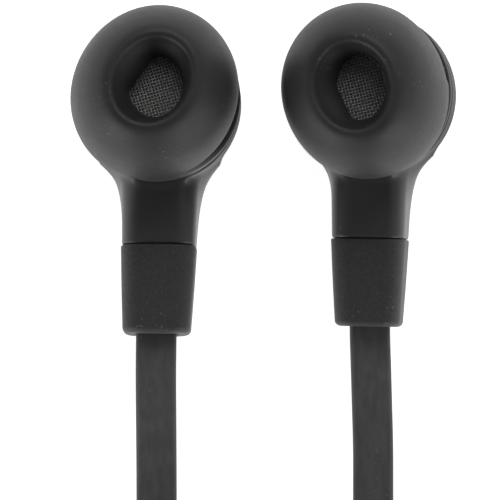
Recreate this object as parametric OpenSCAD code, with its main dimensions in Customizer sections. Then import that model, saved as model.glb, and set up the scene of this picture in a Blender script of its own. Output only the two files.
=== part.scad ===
// Wired in-ear earphones: two earpieces lying on their backs, ear tips up,
// with flat cables that join at a splitter inside a tied hank, and a 3.5 mm plug.
// Millimetres, +Z up. Origin: under the middle of the two earpieces.

/* [Ear tip] */
// Radius of the ear tip's skirt, across its narrow way
tip_r = 6.0; // [5.8:0.05:6.1]
// Half of what the oval tip and nozzle are longer than they are wide
oval = 0.45; // [0.35:0.05:0.55]
// Height of the tip's rim above the back of the earpiece
tip_top = 15.8; // [15.4:0.1:16.2]

/* [Housing] */
// Radius of the round driver housing
body_r = 6.1; // [6:0.05:6.3]
// Radius of the domed back
dome_r = 13; // [12:0.5:16]
// Width of the stem
stem_w = 5.5; // [5.3:0.1:5.7]
// Depth of the stem
stem_d = 5; // [4.8:0.1:5]
// Length of the rubber sleeve on the stem
sleeve_len = 6.5; // [5.5:0.1:7]

/* [Cable] */
// Width of the flat cable
cable_w = 3; // [2.8:0.1:3]
// Thickness of the flat cable
cable_t = 1; // [0.9:0.05:1.1]

/* [Plug] */
// Radius of the plug's handle
handle_r = 3.4; // [3.2:0.1:3.6]
// Length of the plug's handle
handle_len = 16; // [14:1:20]

/* [Hank] */
// Radius of the hank's two end loops, outside
hank_r = 15.1; // [14.9:0.1:15.5]
// Height of the hank: two layers of cable on edge
hank_h = 6.1; // [6.1:0.1:6.4]

/* [Hidden] */
$fn = 64;
eps = 0.01;

// Where each earpiece's dome centre stands, how it leans and how its oval nozzle is turned:
// [x, y, turn about X, turn about Y, turn about Z, turn of the oval]
left_at = [-8.1, 5.6, -2.6, -1.2, -0.5, -28];
right_at = [6.5, 5.4, 2.5, -9.2, -1.6, 17];

split_z = 5.8;            // where the rear and front housings meet
stem_z = 3.3;             // height of the stem's axis above the back
stem_end = -10.6;         // where the stem ends and the sleeve starts
sleeve_end = stem_end - sleeve_len;
nozzle_r = 2.35;          // neck of the nozzle, narrow way
lip_r = 2.56;
bore_r = 1.95;
mesh_r = 2.22;
nozzle_top = 12.9;
core_r = 2.64;            // bore of the tip's inner sleeve

hank_y = -71;             // middle of the hank
hank_s = 19;              // from its middle to the centre of each end loop
pinch = 8.3;              // how much narrower each side is at the tie
tie_w = 4;
tie_t = 0.8;

plug_at = [-8, -114, 3.4]; // start of the plug's strain relief, axis along -Y
relief_len = 8;
jack_r = 1.75;

split_at = [2.4, -60.5, 2.1]; // branch end of the splitter, axis along +Y
split_len = 10.5;

// The route of each free stretch of cable: [x, y, z, roll], roll 0 flat, 90 on edge.
// The first point of a lead is the middle of its sleeve's end face.
left_route = [
  [-8.1, -14.5, 3.8, 0], [-8.1, -17, 3, 0], [-8.1, -20, 1.7, 0], [-8.1, -23, 0.8, 0],
  [-8.1, -26, 0.6, 0], [-8.1, -28.5, 0.9, 20], [-8.1, -31, 1.5, 50], [-8.1, -33.5, 1.6, 80],
  [-8.3, -36, 1.6, 90], [-9, -39.2, 1.6, 90], [-10.4, -41.6, 1.6, 90]];
right_route = [
  [7.8, -14, 2.2, 0], [7.9, -17, 1.3, 0], [8, -20, 0.7, 0], [8, -23, 0.6, 0],
  [8, -25.5, 0.9, 20], [8, -27.5, 1.4, 50], [8, -29.5, 1.6, 80], [7.5, -32.5, 1.6, 90],
  [6, -34.8, 1.6, 90], [3.7, -36.3, 1.6, 90], [1, -36.8, 1.6, 90], [-1.5, -37.1, 1.6, 90],
  [-3.7, -38.1, 1.6, 90]];
trunk_route = [
  [-14.3, -94.5, 4.5, 90], [-13.4, -98, 4.3, 90], [-11.7, -102, 4, 90], [-9.9, -105.5, 3.7, 90],
  [-8.6, -109, 3.5, 90], [-8, -112, 3.4, 90], [-8, -114, 3.4, 90]];

// ---- placing -------------------------------------------------------------

module place(at)
  translate([at[0], at[1], dome_r]) rotate([at[2], at[3], 0]) rotate([0, 0, at[4]])
    translate([0, 0, -dome_r]) children();

function rx(a, p) = [p[0], p[1] * cos(a) - p[2] * sin(a), p[1] * sin(a) + p[2] * cos(a)];
function ry(a, p) = [p[0] * cos(a) + p[2] * sin(a), p[1], p[2] * cos(a) - p[0] * sin(a)];
function rz(a, p) = [p[0] * cos(a) - p[1] * sin(a), p[0] * sin(a) + p[1] * cos(a), p[2]];
function placed(at, p) =
  [at[0], at[1], dome_r] + ry(at[3], rx(at[2], rz(at[4], p - [0, 0, dome_r])));

// ---- shared shapes -------------------------------------------------------

// A rounded rectangle of true arcs
module rrect(w, h, r) {
  square([w - 2 * r, h], center = true);
  square([w, h - 2 * r], center = true);
  for (x = [-1, 1], y = [-1, 1]) translate([x * (w / 2 - r), y * (h / 2 - r)]) circle(r);
}

// An oval bar along Z: two half rounds and the flat between them
module oval_bar(r, z0, z1, o = oval) {
  translate([0, 0, z0]) linear_extrude(z1 - z0) union() {
    translate([0, o]) circle(r);
    translate([0, -o]) circle(r);
    square([2 * r, 2 * o], center = true);
  }
}

// A profile carried round an oval
module oval_turn(points, o = oval) {
  translate([0, o, 0]) rotate_extrude(angle = 180) polygon(points);
  translate([0, -o, 0]) rotate([0, 0, 180]) rotate_extrude(angle = 180) polygon(points);
  translate([0, o, 0]) rotate([90, 0, 0]) linear_extrude(2 * o) union() {
    polygon(points);
    mirror([1, 0]) polygon(points);
  }
}

module ring(r0, r1, z0, z1) {
  translate([0, 0, z0]) difference() {
    cylinder(r = r1, h = z1 - z0);
    translate([0, 0, -1]) cylinder(r = r0, h = z1 - z0 + 2);
  }
}

module disc(r, z0, z1) translate([0, 0, z0]) cylinder(r = r, h = z1 - z0);

module domed_back() translate([0, 0, dome_r]) sphere(dome_r, $fn = 128);

// Along the stem: a bar of one section from y0 down to y1
module along_stem(y0, y1) translate([0, y0, stem_z]) rotate([90, 0, 0])
  linear_extrude(y0 - y1) children();

// ---- the flat cable ------------------------------------------------------

function unit(v) = v / norm(v);
function xyz(p) = [p[0], p[1], p[2]];
function tangent(q, i) = unit(xyz(q[min(i + 1, len(q) - 1)]) - xyz(q[max(i - 1, 0)]));
// The eight corners of the cable's section
section = let (w = cable_w / 2, t = cable_t / 2, c = 0.3)
  [[w, -t + c], [w, t - c], [w - c, t], [-w + c, t], [-w, t - c], [-w, -t + c], [-w + c, -t], [w - c, -t]];
function cable_ring(q, i) =
  let (t = tangent(q, i), n = unit(cross(t, [0, 0, 1])), u = cross(n, t),
       w = n * cos(q[i][3]) + u * sin(q[i][3]), b = cross(t, w))
  [for (s = section) xyz(q[i]) + s[0] * w + s[1] * b];
module flat_cable(q) {
  n = len(section);
  polyhedron(
    points = [for (i = [0 : len(q) - 1]) each cable_ring(q, i)],
    faces = concat(
      [[for (k = [0 : n - 1]) k]],
      [for (i = [0 : len(q) - 2], k = [0 : n - 1]) each [
        [i * n + k, (i + 1) * n + k, (i + 1) * n + (k + 1) % n],
        [i * n + k, (i + 1) * n + (k + 1) % n, i * n + (k + 1) % n]]],
      [[for (k = [n - 1 : -1 : 0]) (len(q) - 1) * n + k]]));
}

// ---- the earpiece, in its own frame: nozzle along +Z, stem along -Y --------

// Soft silicone tip: a thin bell over an inner sleeve that grips the nozzle
module ear_tip(at) color("#3a3b3d") place(at) rotate([0, 0, at[5]]) oval_turn([
  [tip_r - 0.28, 7.75], [tip_r - 0.06, 8.2], [tip_r, 8.9], [tip_r - 0.04, 9.8],
  [tip_r - 0.2, 10.9], [tip_r - 0.5, 12], [tip_r - 0.93, 13.1], [tip_r - 1.5, tip_top - 1.7],
  [tip_r - 2.05, tip_top - 0.9], [3.5, tip_top - 0.35], [3.15, tip_top - 0.07],
  [2.85, tip_top], [2.64, tip_top - 0.2], [2.52, tip_top - 0.6], [2.3, 14.4],
  [2.1, 13.6], [2.1, 13.15], [core_r, 13.05], [core_r, 8.9], [2.8, 8.6], [3.15, 8.6], [3.25, 8.9],
  [3.25, 13.2], [3.45, 13.8], [3.75, 13.85], [4.2, 13.3], [4.7, 12.4], [5.05, 11.4],
  [tip_r - 0.65, 10.4], [tip_r - 0.5, 9.5], [tip_r - 0.47, 8.8], [tip_r - 0.5, 8.1],
  [tip_r - 0.45, 7.8]]);

module front_housing(at) color("#26272a") place(at) difference() {
  union() {
    rotate_extrude() polygon([
      [0, 8.15], [3.6, 8.15], [4.6, 7.95], [5.3, 7.5], [body_r - 0.25, 6.9],
      [body_r - 0.05, 6.4], [body_r, 6.1], [body_r, split_z], [5.3, split_z],
      [5.3, 6.9], [4, 6.9], [3, 7.5], [0, 7.5]]);
    rotate([0, 0, at[5]]) oval_bar(nozzle_r, 8, 12.4);
    rotate([0, 0, at[5]]) oval_bar(lip_r, 12.1, nozzle_top);
  }
  rotate([0, 0, at[5]]) oval_bar(bore_r, 7, 12.5);
  rotate([0, 0, at[5]]) oval_bar(mesh_r, 12.45, nozzle_top + 1);
}

// Concave shoulders where the stem grows out of the round housing
function stem_half(d) = stem_w / 2 - 0.05 + 0.024 * (10.74 - d) + 0.71 * exp((5.41 - d) / 1.5);
module shoulders() polygon(concat(
  [for (d = [4.35 : 0.6 : 10.35]) [stem_half(d), -d]],
  [for (d = [10.35 : -0.6 : 4.35]) [-stem_half(d), -d]]));

module rear_housing(at) color("#26272a") place(at) difference() {
  union() {
    intersection() {
      rotate_extrude() polygon([
        [0, 0], [5.1, 0], [5.45, 1.15], [5.78, 1.5], [body_r - 0.11, 1.95], [body_r, 2.5],
        [body_r, split_z], [0, split_z]]);
      domed_back();
    }
    along_stem(-3, stem_end) rrect(stem_w, stem_d, 2.2);
    translate([0, 0, stem_z - 1.9]) linear_extrude(3.8) shoulders();
    along_stem(stem_end + 1, stem_end - 2.4) rrect(4, 3.4, 1.3);
  }
  disc(5.3, 2, split_z + 1);
  disc(4.4, -1, 1.6);
  translate([0, 2.5, 1]) cylinder(r = 0.5, h = 2);
  along_stem(-4, stem_end - 3) rrect(3.2, 2, 0.8);
}

module rear_cap(at) color("#2a2b2e") place(at) intersection() {
  disc(4.38, 0, 1.6);
  domed_back();
}

module nozzle_mesh(at) color("#6a6c70") place(at) rotate([0, 0, at[5]])
  oval_bar(mesh_r, 12.5, 12.75);

module nozzle_damper(at) color("#8c8577") place(at) rotate([0, 0, at[5]])
  oval_bar(bore_r - 0.02, 9.6, 10.4);

module driver_gasket(at) color("#1c1c1c") place(at) ring(4.35, 4.95, 6.6, 6.9);

module driver_basket(at) color("#b9b9bd") place(at) {
  ring(4.5, 4.95, 3.7, 6.6);
  ring(2.92, 4.95, 3.2, 3.7);
}

module diaphragm(at) color("#c9c3a0") place(at) rotate_extrude() polygon([
  [0, 6.55], [1, 6.45], [2, 6.16], [2.3, 6.1], [2.8, 6.3], [3.6, 6.36], [4.2, 6.16], [4.48, 6.1],
  [4.48, 6.02], [4.15, 6.05], [3.6, 6.25], [2.85, 6.2], [2.3, 6], [1.95, 6], [1, 6.33], [0, 6.43]]);

module voice_coil(at) color("#b5652d") place(at) ring(1.97, 2.25, 4.5, 6);

module top_plate(at) color("#9a9a9e") place(at) disc(1.66, 4.9, 5.4);

module magnet(at) color("#77787c") place(at) disc(1.6, 3.7, 4.9);

module yoke(at) color("#9a9a9e") place(at) {
  disc(2.9, 3.2, 3.7);
  ring(2.55, 2.9, 3.65, 5.4);
}

module terminal_board(at) color("#2f6b3a") place(at)
  translate([-1.3, -2.7, 2.75]) cube([2.6, 1.8, 0.45]);

module vent_filter(at) color("#d8d8d2") place(at) translate([0, 2.5, 2]) cylinder(r = 0.9, h = 0.2);

// Clamp block moulded on the end of the cable, with the end of the cable itself
module cable_anchor(at) color("#3b3c3f") place(at) {
  along_stem(-8.4, -9.9) rrect(3, 1.9, 0.6);
  along_stem(-9.8, sleeve_end) rrect(cable_w - 0.04, cable_t - 0.02, 0.3);
}

module wire_pair(at) color("#c0392b") place(at)
  for (x = [-0.6, 0.6]) translate([x, -2.7, 2.97]) rotate([90, 0, 0]) cylinder(r = 0.2, h = 5.7);

// Tapered rubber sleeve over the stem's spigot and the cable
module strain_relief(at) color("#2c2d30") place(at) difference() {
  translate([0, stem_end, stem_z]) rotate([90, 0, 0])
    linear_extrude(sleeve_len, scale = [0.905, 0.88], slices = 1) rrect(stem_w + 0.05, stem_d, 2);
  along_stem(stem_end + 1, stem_end - 2.45) rrect(4.04, 3.44, 1.32);
  along_stem(stem_end, sleeve_end - 1) rrect(cable_w, cable_t, 0.3);
}

// ---- cables, hank, tie ---------------------------------------------------

function lead_start(at, up) = let (p = placed(at, [0, sleeve_end, stem_z])) [p[0], p[1], p[2], up];
module left_lead() color("#3a3b3e") flat_cable(concat([lead_start(left_at, 0)], left_route));
module right_lead() color("#3a3b3e") flat_cable(concat([lead_start(right_at, 0)], right_route));
module trunk_lead() color("#3a3b3e") flat_cable(trunk_route);

// Half width of a loop of the hank at a distance u from its tie
function half_width(r, u) = r - pinch * (1 + cos(180 * min(abs(u), hank_s) / hank_s)) / 2;
function side(r, n) = [for (k = [-n : n]) let (u = hank_s * k / n) [half_width(r, u), u]];
function end_arc(r, n) = [for (k = [1 : n - 1]) let (a = 180 * k / n) [r * cos(a), hank_s + r * sin(a)]];
function flipped(q) = [for (p = q) [-p[0], -p[1]]];
function outline(r) = concat(side(r, 10), end_arc(r, 16), flipped(side(r, 10)), flipped(end_arc(r, 16)));
// The hole inside one end loop, from where its sides part
function hole(r, u0) = concat(
  [for (k = [0 : 8]) let (u = u0 + (hank_s - u0) * k / 8) [half_width(r, u), u]],
  end_arc(r, 14),
  [for (k = [8 : -1 : 0]) let (u = u0 + (hank_s - u0) * k / 8) [-half_width(r, u), u]]);

module cable_hank() color("#3a3b3e") translate([0, hank_y, 0]) difference() {
  union() {
    linear_extrude(hank_h) polygon(outline(hank_r));
    linear_extrude(hank_h + tie_t - 0.02) intersection() {
      polygon(outline(hank_r));
      square([40, tie_w], center = true);
    }
  }
  translate([0, 0, -1]) linear_extrude(hank_h + 3) polygon(hole(8.4, 8));
  translate([0, 0, -1]) linear_extrude(hank_h + 3) rotate(180) polygon(hole(8.4, 8));
  translate([-20, -tie_w / 2 - 0.1, -1]) cube([40, tie_w + 0.2, 1 + tie_t + 0.02]);
}

// Flat strap round the hank's waist
module cable_tie() color("#1d1d1f") translate([0, hank_y + tie_w / 2, tie_t + hank_h / 2])
  rotate([90, 0, 0]) linear_extrude(tie_w) difference() {
    rrect(2 * (hank_r - pinch + 0.3) + 2 * tie_t, hank_h + 2 * tie_t, 1.4);
    rrect(2 * (hank_r - pinch + 0.3), hank_h, 0.6);
  }

// ---- splitter ------------------------------------------------------------

module splitter_half(upper) intersection() {
  difference() {
    rotate([-90, 0, 0]) linear_extrude(split_len) rrect(4.8, 4.2, 1.4);
    translate([-1.6, 2, -1.3]) cube([3.2, 6.5, 2.6]);
    translate([-1.15, -1, -1.52]) cube([2.3, 3.5, 3.04]);
    translate([-0.52, 8, -1.52]) cube([1.04, 3.5, 3.04]);
  }
  translate([-5, -1, upper ? 0 : -5]) cube([10, split_len + 2, 5]);
}
module splitter_upper() color("#2b2c2f") translate(split_at) splitter_half(true);
module splitter_lower() color("#2b2c2f") translate(split_at) splitter_half(false);
module splitter_splice() color("#b08d57") translate(split_at)
  for (x = [-0.8, 0.8]) translate([x, 2.6, 0]) rotate([-90, 0, 0]) cylinder(r = 0.5, h = 5);

// ---- plug: local Z runs from the cable to the jack's point ----------------

module on_plug() translate(plug_at) rotate([90, 0, 0]) children();
hz = relief_len;              // start of the handle
jz = relief_len + handle_len; // face of the handle, where the jack starts

module plug_strain_relief() color("#2b2c2f") on_plug() {
  difference() {
    cylinder(r1 = 1.95, r2 = 2.7, h = hz);
    for (z = [1.6, 3.4, 5.2]) translate([0, 0, z]) ring(1.55, 4, 0, 0.6);
  }
}

module plug_handle() color("#232427") on_plug() difference() {
  rotate_extrude() polygon([
    [0, hz], [2.7, hz], [handle_r - 0.25, hz + 0.9], [handle_r, hz + 2], [handle_r, jz - 1.6],
    [handle_r - 0.15, jz - 0.7], [handle_r - 0.6, jz - 0.15], [handle_r - 0.9, jz], [0, jz]]);
  disc(2.3, hz + 1.5, jz - 2);
  disc(2.1, jz - 2.1, jz - 1);
  disc(1.97, jz - 1.1, jz + 1);
}

module plug_core() color("#d9d7cf") on_plug() difference() {
  disc(2.28, hz + 1.5, jz - 2.01);
  disc(1.05, jz - 6, jz);
}

module plug_sleeve_contact() color("#c9ccd1") on_plug() {
  ring(1, 1.95, jz - 1.02, jz);
  ring(1, jack_r, jz - 0.01, jz + 6.4);
  ring(1, 2.08, jz - 1.98, jz - 1.01);
}

module plug_ring_contact() color("#c9ccd1") on_plug() ring(1, jack_r, jz + 7, jz + 9.3);

module plug_insulator() color("#17181a") on_plug() {
  ring(0.6, 1, jz - 1.9, jz + 9.9);
  ring(0.98, jack_r, jz + 6.4, jz + 7);
  ring(0.98, jack_r, jz + 9.3, jz + 9.9);
}

module plug_tip_contact() color("#c9ccd1") on_plug() {
  disc(0.6, jz - 5.5, jz + 9.95);
  rotate_extrude() polygon([
    [0, jz + 9.9], [jack_r, jz + 9.9], [jack_r, jz + 10.3], [1.25, jz + 10.9], [1.25, jz + 11.3],
    [1.6, jz + 12], [1.63, jz + 12.3], [1.2, jz + 13.1], [0.55, jz + 13.8], [0, jz + 14]]);
}

ear_tip(left_at);  // left_ear_tip
front_housing(left_at);  // left_front_housing
rear_housing(left_at);  // left_rear_housing
rear_cap(left_at);  // left_rear_cap
nozzle_mesh(left_at);  // left_nozzle_mesh
nozzle_damper(left_at);  // left_nozzle_damper
driver_gasket(left_at);  // left_driver_gasket
driver_basket(left_at);  // left_driver_basket
diaphragm(left_at);  // left_diaphragm
voice_coil(left_at);  // left_voice_coil
top_plate(left_at);  // left_top_plate
magnet(left_at);  // left_magnet
yoke(left_at);  // left_yoke
terminal_board(left_at);  // left_terminal_board
vent_filter(left_at);  // left_vent_filter
cable_anchor(left_at);  // left_cable_anchor
wire_pair(left_at);  // left_wire_pair
strain_relief(left_at);  // left_strain_relief
ear_tip(right_at);  // right_ear_tip
front_housing(right_at);  // right_front_housing
rear_housing(right_at);  // right_rear_housing
rear_cap(right_at);  // right_rear_cap
nozzle_mesh(right_at);  // right_nozzle_mesh
nozzle_damper(right_at);  // right_nozzle_damper
driver_gasket(right_at);  // right_driver_gasket
driver_basket(right_at);  // right_driver_basket
diaphragm(right_at);  // right_diaphragm
voice_coil(right_at);  // right_voice_coil
top_plate(right_at);  // right_top_plate
magnet(right_at);  // right_magnet
yoke(right_at);  // right_yoke
terminal_board(right_at);  // right_terminal_board
vent_filter(right_at);  // right_vent_filter
cable_anchor(right_at);  // right_cable_anchor
wire_pair(right_at);  // right_wire_pair
strain_relief(right_at);  // right_strain_relief
left_lead();
right_lead();
cable_hank();
cable_tie();
splitter_upper();
splitter_lower();
splitter_splice();
trunk_lead();
plug_strain_relief();
plug_handle();
plug_core();
plug_sleeve_contact();
plug_ring_contact();
plug_insulator();
plug_tip_contact();
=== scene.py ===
import math

import bpy
import numpy as np
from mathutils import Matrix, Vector


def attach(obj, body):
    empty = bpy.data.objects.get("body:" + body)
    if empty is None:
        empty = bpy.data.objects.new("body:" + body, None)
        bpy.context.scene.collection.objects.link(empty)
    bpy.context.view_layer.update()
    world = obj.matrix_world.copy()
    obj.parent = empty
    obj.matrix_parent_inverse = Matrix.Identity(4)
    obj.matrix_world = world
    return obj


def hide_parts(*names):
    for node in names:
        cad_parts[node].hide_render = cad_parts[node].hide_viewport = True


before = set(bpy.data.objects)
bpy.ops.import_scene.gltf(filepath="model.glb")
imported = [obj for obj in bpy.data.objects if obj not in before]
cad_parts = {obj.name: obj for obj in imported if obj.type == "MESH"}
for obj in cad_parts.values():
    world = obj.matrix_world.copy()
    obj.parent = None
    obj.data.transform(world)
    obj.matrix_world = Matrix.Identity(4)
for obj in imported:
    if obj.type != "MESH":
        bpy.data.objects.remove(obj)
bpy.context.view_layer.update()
MM = 0.001
ROOT = "cable_and_housings"
scene = bpy.context.scene

# ------------------------------------------------------------------ camera
ELEV = math.radians(86.0)
DIST = 0.300
LOOK = Vector((-0.00116, -0.00560, 0.0030))
cam_data = bpy.data.cameras.new("camera")
cam = bpy.data.objects.new("camera", cam_data)
scene.collection.objects.link(cam)
cam.location = LOOK + DIST * Vector((0, -math.cos(ELEV), math.sin(ELEV)))
cam.rotation_euler = (math.pi / 2 - ELEV, 0, 0)
cam_data.sensor_width = 36.0
cam_data.sensor_fit = "HORIZONTAL"
cam_data.lens = 291.6
cam_data.clip_start = 0.01
cam_data.clip_end = 20
scene.camera = cam

# ------------------------------------------------------------------ numbers shared with the CAD, mm
TIP_R, OVAL, TIP_TOP = 6.0, 0.45, 15.8
BODY_R, DOME_R = 6.1, 13.0
STEM_W, STEM_D, STEM_Z, STEM_END = 5.5, 5.0, 3.3, -10.6
SLEEVE_END = STEM_END - 6.5
SPLIT_Z = 5.8
CABLE_W, CABLE_T = 3.0, 1.0
LEFT = (-8.1, 5.6, -2.6, -1.2, -0.5, -28.0)
RIGHT = (6.5, 5.4, 2.5, -9.2, -1.6, 17.0)
HANK_Y, HANK_S, PINCH = -71.0, 19.0, 8.3
TIE_W, TIE_T, HANK_H, HANK_R = 4.0, 0.8, 6.1, 15.1
PLUG = (-8.0, -114.0, 3.4)
SPLITTER = (2.4, -60.5, 2.1)
SPLIT_LEN = 10.5


def turn_matrix(at):
    rx, ry, rz = (math.radians(a) for a in at[2:5])
    mx = np.array([[1, 0, 0], [0, math.cos(rx), -math.sin(rx)], [0, math.sin(rx), math.cos(rx)]])
    my = np.array([[math.cos(ry), 0, math.sin(ry)], [0, 1, 0], [-math.sin(ry), 0, math.cos(ry)]])
    mz = np.array([[math.cos(rz), -math.sin(rz), 0], [math.sin(rz), math.cos(rz), 0], [0, 0, 1]])
    return my @ mx @ mz


def placed(at, pts):
    """Earpiece coordinates in mm to the row frame in mm."""
    pts = np.atleast_2d(np.asarray(pts, float))
    return (pts - [0, 0, DOME_R]) @ turn_matrix(at).T + [at[0], at[1], DOME_R]


def spin(pts, deg):
    a = math.radians(deg)
    m = np.array([[math.cos(a), -math.sin(a), 0], [math.sin(a), math.cos(a), 0], [0, 0, 1]])
    return np.asarray(pts, float) @ m.T


def smoothstep(a, b, x):
    t = np.clip((np.asarray(x, float) - a) / (b - a), 0, 1)
    return t * t * (3 - 2 * t)


# ------------------------------------------------------------------ mesh helpers
def make_mesh(name, verts_mm, faces, smooth=True, angle=None):
    me = bpy.data.meshes.new(name)
    me.from_pydata((np.asarray(verts_mm, float) * MM).tolist(), [], faces)
    me.validate()
    me.update()
    ob = bpy.data.objects.new(name, me)
    scene.collection.objects.link(ob)
    if smooth:
        me.polygons.foreach_set("use_smooth", [True] * len(me.polygons))
        if angle is not None:
            me.set_sharp_from_angle(angle=math.radians(angle))
    me.update()
    return ob


def outward(verts, faces):
    """Faces turned so that the closed surface's volume is positive."""
    v = np.asarray(verts, float)
    vol = 0.0
    for f in faces:
        a = v[f[0]]
        for i in range(1, len(f) - 1):
            vol += np.dot(a, np.cross(v[f[i]], v[f[i + 1]]))
    return faces if vol > 0 else [tuple(reversed(f)) for f in faces]


def loft(rings, cap_start=True, cap_end=True, close=False):
    """Vertices and quads through rings, each an (n, 3) array."""
    n, m = len(rings[0]), len(rings)
    verts = np.concatenate(rings)
    faces = []
    last = m if close else m - 1
    for i in range(last):
        a, b = i * n, ((i + 1) % m) * n
        for k in range(n):
            k2 = (k + 1) % n
            faces.append((a + k, a + k2, b + k2, b + k))
    if not close:
        if cap_start:
            faces.append(tuple(range(n))[::-1])
        if cap_end:
            faces.append(tuple((m - 1) * n + k for k in range(n)))
    return verts, outward(verts, faces)


def spline(points, n, closed=False):
    """Catmull-Rom (centripetal-like) through points, n samples evenly spread by length."""
    p = np.asarray(points, float)
    if closed:
        q = np.concatenate([p[-1:], p, p[:2]])
    else:
        q = np.concatenate([2 * p[:1] - p[1:2], p, 2 * p[-1:] - p[-2:-1]])
    out = []
    segs = len(q) - 3
    for i in range(segs):
        p0, p1, p2, p3 = q[i : i + 4]
        d1 = max(np.linalg.norm(p1 - p0) ** 0.5, 1e-6)
        d2 = max(np.linalg.norm(p2 - p1) ** 0.5, 1e-6)
        d3 = max(np.linalg.norm(p3 - p2) ** 0.5, 1e-6)
        t0, t1 = 0.0, d1
        t2, t3 = t1 + d2, t1 + d2 + d3
        t = np.linspace(t1, t2, 24, endpoint=False)[:, None]
        a1 = (t1 - t) / (t1 - t0) * p0 + (t - t0) / (t1 - t0) * p1
        a2 = (t2 - t) / (t2 - t1) * p1 + (t - t1) / (t2 - t1) * p2
        a3 = (t3 - t) / (t3 - t2) * p2 + (t - t2) / (t3 - t2) * p3
        b1 = (t2 - t) / (t2 - t0) * a1 + (t - t0) / (t2 - t0) * a2
        b2 = (t3 - t) / (t3 - t1) * a2 + (t - t1) / (t3 - t1) * a3
        out.append((t2 - t) / (t2 - t1) * b1 + (t - t1) / (t2 - t1) * b2)
    out = np.concatenate(out + ([p[:1]] if closed else [p[-1:]]))
    return resample(out, n, closed)


def resample(line, n, closed=False):
    d = np.concatenate([[0], np.cumsum(np.linalg.norm(np.diff(line, axis=0), axis=1))])
    t = np.linspace(0, d[-1], n + 1 if closed else n)
    if closed:
        t = t[:-1]
    return np.stack([np.interp(t, d, line[:, k]) for k in range(line.shape[1])], 1)


def soften(line, window, keep_ends=True):
    """A moving average along an evenly spaced open line."""
    if window < 2:
        return line
    k = np.hanning(2 * window + 3)[1:-1]
    k /= k.sum()
    pad = np.concatenate([np.repeat(line[:1], window, 0) + (np.arange(-window, 0)[:, None]) * (line[1] - line[0]),
                          line,
                          np.repeat(line[-1:], window, 0) + (np.arange(1, window + 1)[:, None]) * (line[-1] - line[-2])])
    return np.stack([np.convolve(pad[:, c], k, "valid") for c in range(line.shape[1])], 1)


def rounded_section(w, t, r, n=6):
    """A rounded rectangle, w wide and t thick, corner radius r, as (k, 2) points anticlockwise."""
    pts = []
    for cx, cy, a0 in ((w / 2 - r, t / 2 - r, 0), (-w / 2 + r, t / 2 - r, 90), (-w / 2 + r, -t / 2 + r, 180), (w / 2 - r, -t / 2 + r, 270)):
        for k in range(n):
            a = math.radians(a0 + 90 * k / (n - 1))
            pts.append((cx + r * math.cos(a), cy + r * math.sin(a)))
    return np.array(pts)


# ------------------------------------------------------------------ the cords
def half_width(r, u):
    return r - PINCH * (1 + np.cos(np.pi * np.minimum(np.abs(u), HANK_S) / HANK_S)) / 2


def tie_rise(y):
    u = np.abs(np.asarray(y, float) - HANK_Y)
    return 0.78 * (1 - smoothstep(TIE_W / 2 + 0.4, 13.0, u))


def wound(r0, dr, s0, s1, z, step=0.02):
    """The line of a strand wound in the hank from turn s0 to s1; its loop radius is r0 + dr * s. s counts turns from the near loop's left side, anticlockwise from above."""
    side = 0.27
    out = []
    for s in np.arange(s0, s1 + step / 2, step):
        s = min(s, s1)
        r, f = r0 + dr * s, s % 1.0
        if f < side:
            u = -HANK_S + 2 * HANK_S * f / side
            p = (-half_width(r, u), HANK_Y - u)
        elif f < 0.5:
            a = math.pi + math.pi * (f - side) / (0.5 - side)
            p = (r * math.cos(a), HANK_Y - HANK_S + r * math.sin(a))
        elif f < 0.5 + side:
            u = HANK_S - 2 * HANK_S * (f - 0.5) / side
            p = (half_width(r, u), HANK_Y - u)
        else:
            a = math.pi * (f - 0.5 - side) / (0.5 - side)
            p = (r * math.cos(a), HANK_Y + HANK_S + r * math.sin(a))
        out.append((p[0], p[1], z + float(tie_rise(p[1]))))
    return np.array(out)


left_start = placed(LEFT, [0, SLEEVE_END, STEM_Z])[0]
right_start = placed(RIGHT, [0, SLEEVE_END, STEM_Z])[0]
left_in = placed(LEFT, [0, SLEEVE_END + 0.8, STEM_Z])[0]
right_in = placed(RIGHT, [0, SLEEVE_END + 0.8, STEM_Z])[0]

# [x, y, z, roll]: the routes of part.scad, then the wound length
left_route = [
    [*left_in, 0], [*left_start, 0],
    [-8.1, -14.5, 3.8, 0], [-8.1, -17, 3, 0], [-8.1, -20, 1.7, 0], [-8.1, -23, 0.8, 0],
    [-8.1, -26, 0.6, 0], [-8.1, -28.5, 0.9, 20], [-8.1, -31, 1.5, 50], [-8.1, -33.5, 1.6, 80],
    [-8.3, -36, 1.6, 90], [-9, -39.2, 1.6, 90], [-10.4, -41.6, 1.6, 90],
    [-12.4, -44.8, 1.55, 90], [-13.6, -48.3, 1.55, 90]]
right_route = [
    [*right_in, 0], [*right_start, 0],
    [7.8, -14, 2.2, 0], [7.9, -17, 1.3, 0], [8, -20, 0.7, 0], [8, -23, 0.6, 0],
    [8, -25.5, 0.9, 20], [8, -27.5, 1.4, 50], [8, -29.5, 1.6, 80], [7.5, -32.5, 1.6, 90],
    [6, -34.8, 1.6, 90], [3.7, -36.3, 1.6, 90], [1, -36.8, 1.6, 90], [-1.5, -37.1, 1.6, 90],
    [-3.7, -38.1, 1.6, 90], [-6.9, -40.1, 1.55, 90], [-9.4, -42.6, 1.55, 90],
    [-11.35, -45.4, 1.55, 90], [-12.5, -48.6, 1.55, 90]]
trunk_route = [
    [-14.3, -94.5, 4.5, 90], [-13.4, -98, 4.3, 90], [-11.7, -102, 4, 90], [-9.9, -105.5, 3.7, 90],
    [-8.6, -109, 3.5, 90], [-8, -112, 3.4, 90], [-8, -114, 3.4, 90], [-8, -115.5, 3.4, 90]]


def rolled(line, roll=90.0):
    return np.concatenate([line, np.full((len(line), 1), roll)], 1)


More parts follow.
